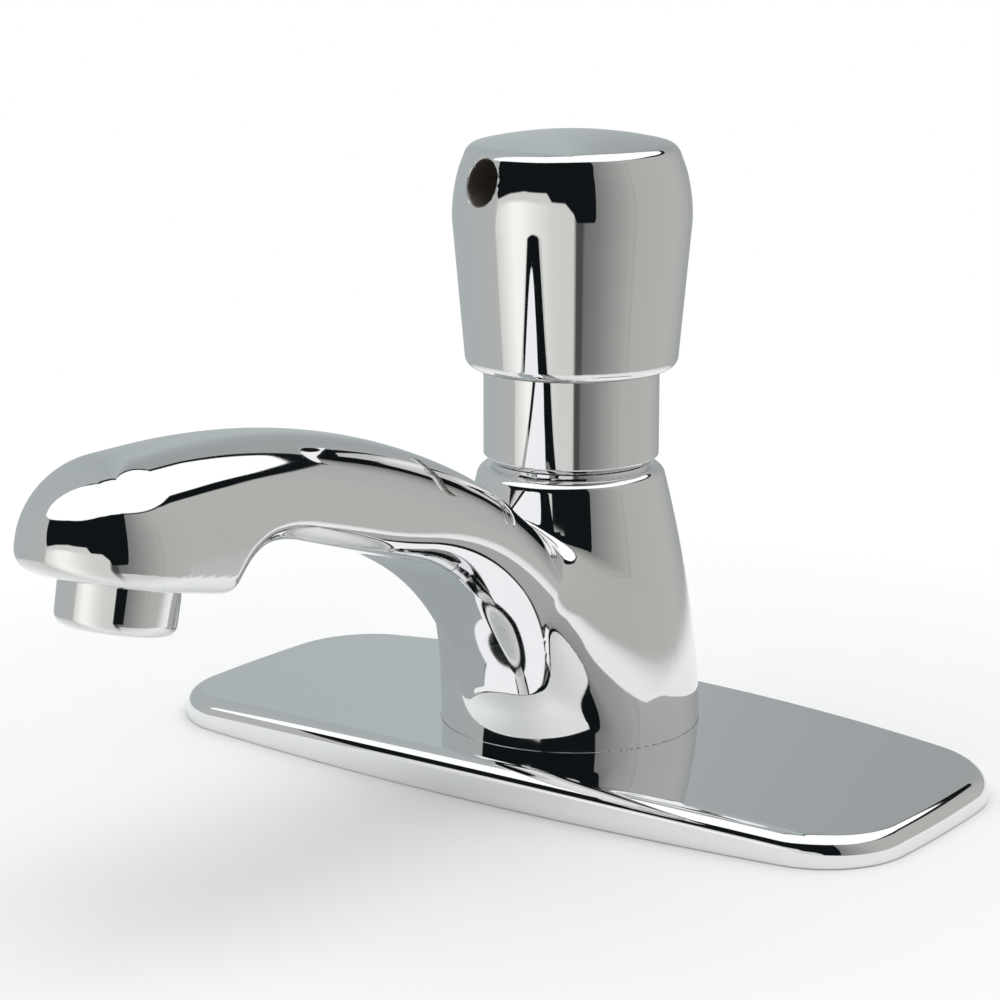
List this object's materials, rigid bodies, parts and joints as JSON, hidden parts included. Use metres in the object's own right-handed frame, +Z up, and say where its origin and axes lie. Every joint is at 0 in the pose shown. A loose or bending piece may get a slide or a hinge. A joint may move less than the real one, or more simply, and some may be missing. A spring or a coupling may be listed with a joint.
{
  "type": "push timed tap",
  "caption": "Chromed basin tap on an oblong cover plate: press the large button, water runs from the curved spout, a sprung timing cartridge shuts it off again.",
  "frame": {"origin": "where the tap's vertical axis meets the deck that the cover plate lies on", "axes": "+Z up along the tap's axis and the button's travel, spout pointing to -Y, the cover plate's length along X"},
  "size_m": [0.159, 0.1724, 0.1717],
  "materials": {
    "polished_chrome": "polished",
    "brass": "machined",
    "steel": "satin",
    "black_rubber": "matt",
    "white_acetal": "matt"
  },
  "bodies": {
    "tap": {"deck_plate": "polished_chrome", "deck_gasket": "black_rubber", "tap_body": "polished_chrome", "anti_rotation_pin": "steel", "inlet_shank": "brass", "shank_o_ring": "black_rubber", "inlet_screen": "steel", "rubber_washer": "black_rubber", "fixing_washer": "steel", "fixing_nut": "brass", "cartridge_gasket": "black_rubber", "valve_seat": "steel", "cartridge_housing": "brass", "cartridge_o_ring": "black_rubber", "cartridge_cap": "brass", "cap_o_ring": "black_rubber", "stem_o_ring": "black_rubber", "timing_screw": "steel", "bonnet_sleeve": "polished_chrome", "return_spring": "steel", "aerator_housing": "polished_chrome", "aerator_insert": "white_acetal", "aerator_screen": "steel", "aerator_washer": "black_rubber"},
    "plunger": {"valve_washer": "black_rubber", "washer_holder": "brass", "valve_nut": "brass", "valve_stem": "steel", "piston": "white_acetal", "cup_seal": "black_rubber", "piston_clip": "steel"},
    "button": {"push_stem": "brass", "push_button": "polished_chrome", "button_set_screw": "steel"}
  },
  "joints": [
    {"name": "button_press", "type": "slide", "parent": "tap", "child": "plunger", "axis": [0, 0, -1], "range_m": [0, 0.008], "stiffness_N_per_m": 1500, "springref_m": -0.006, "deforming": ["return_spring"]},
    {"name": "button_turn", "type": "hinge", "parent": "plunger", "child": "button", "pos_m": [0, 0, 0.1], "axis": [0, 0, 1], "continuous": true}
  ]
}
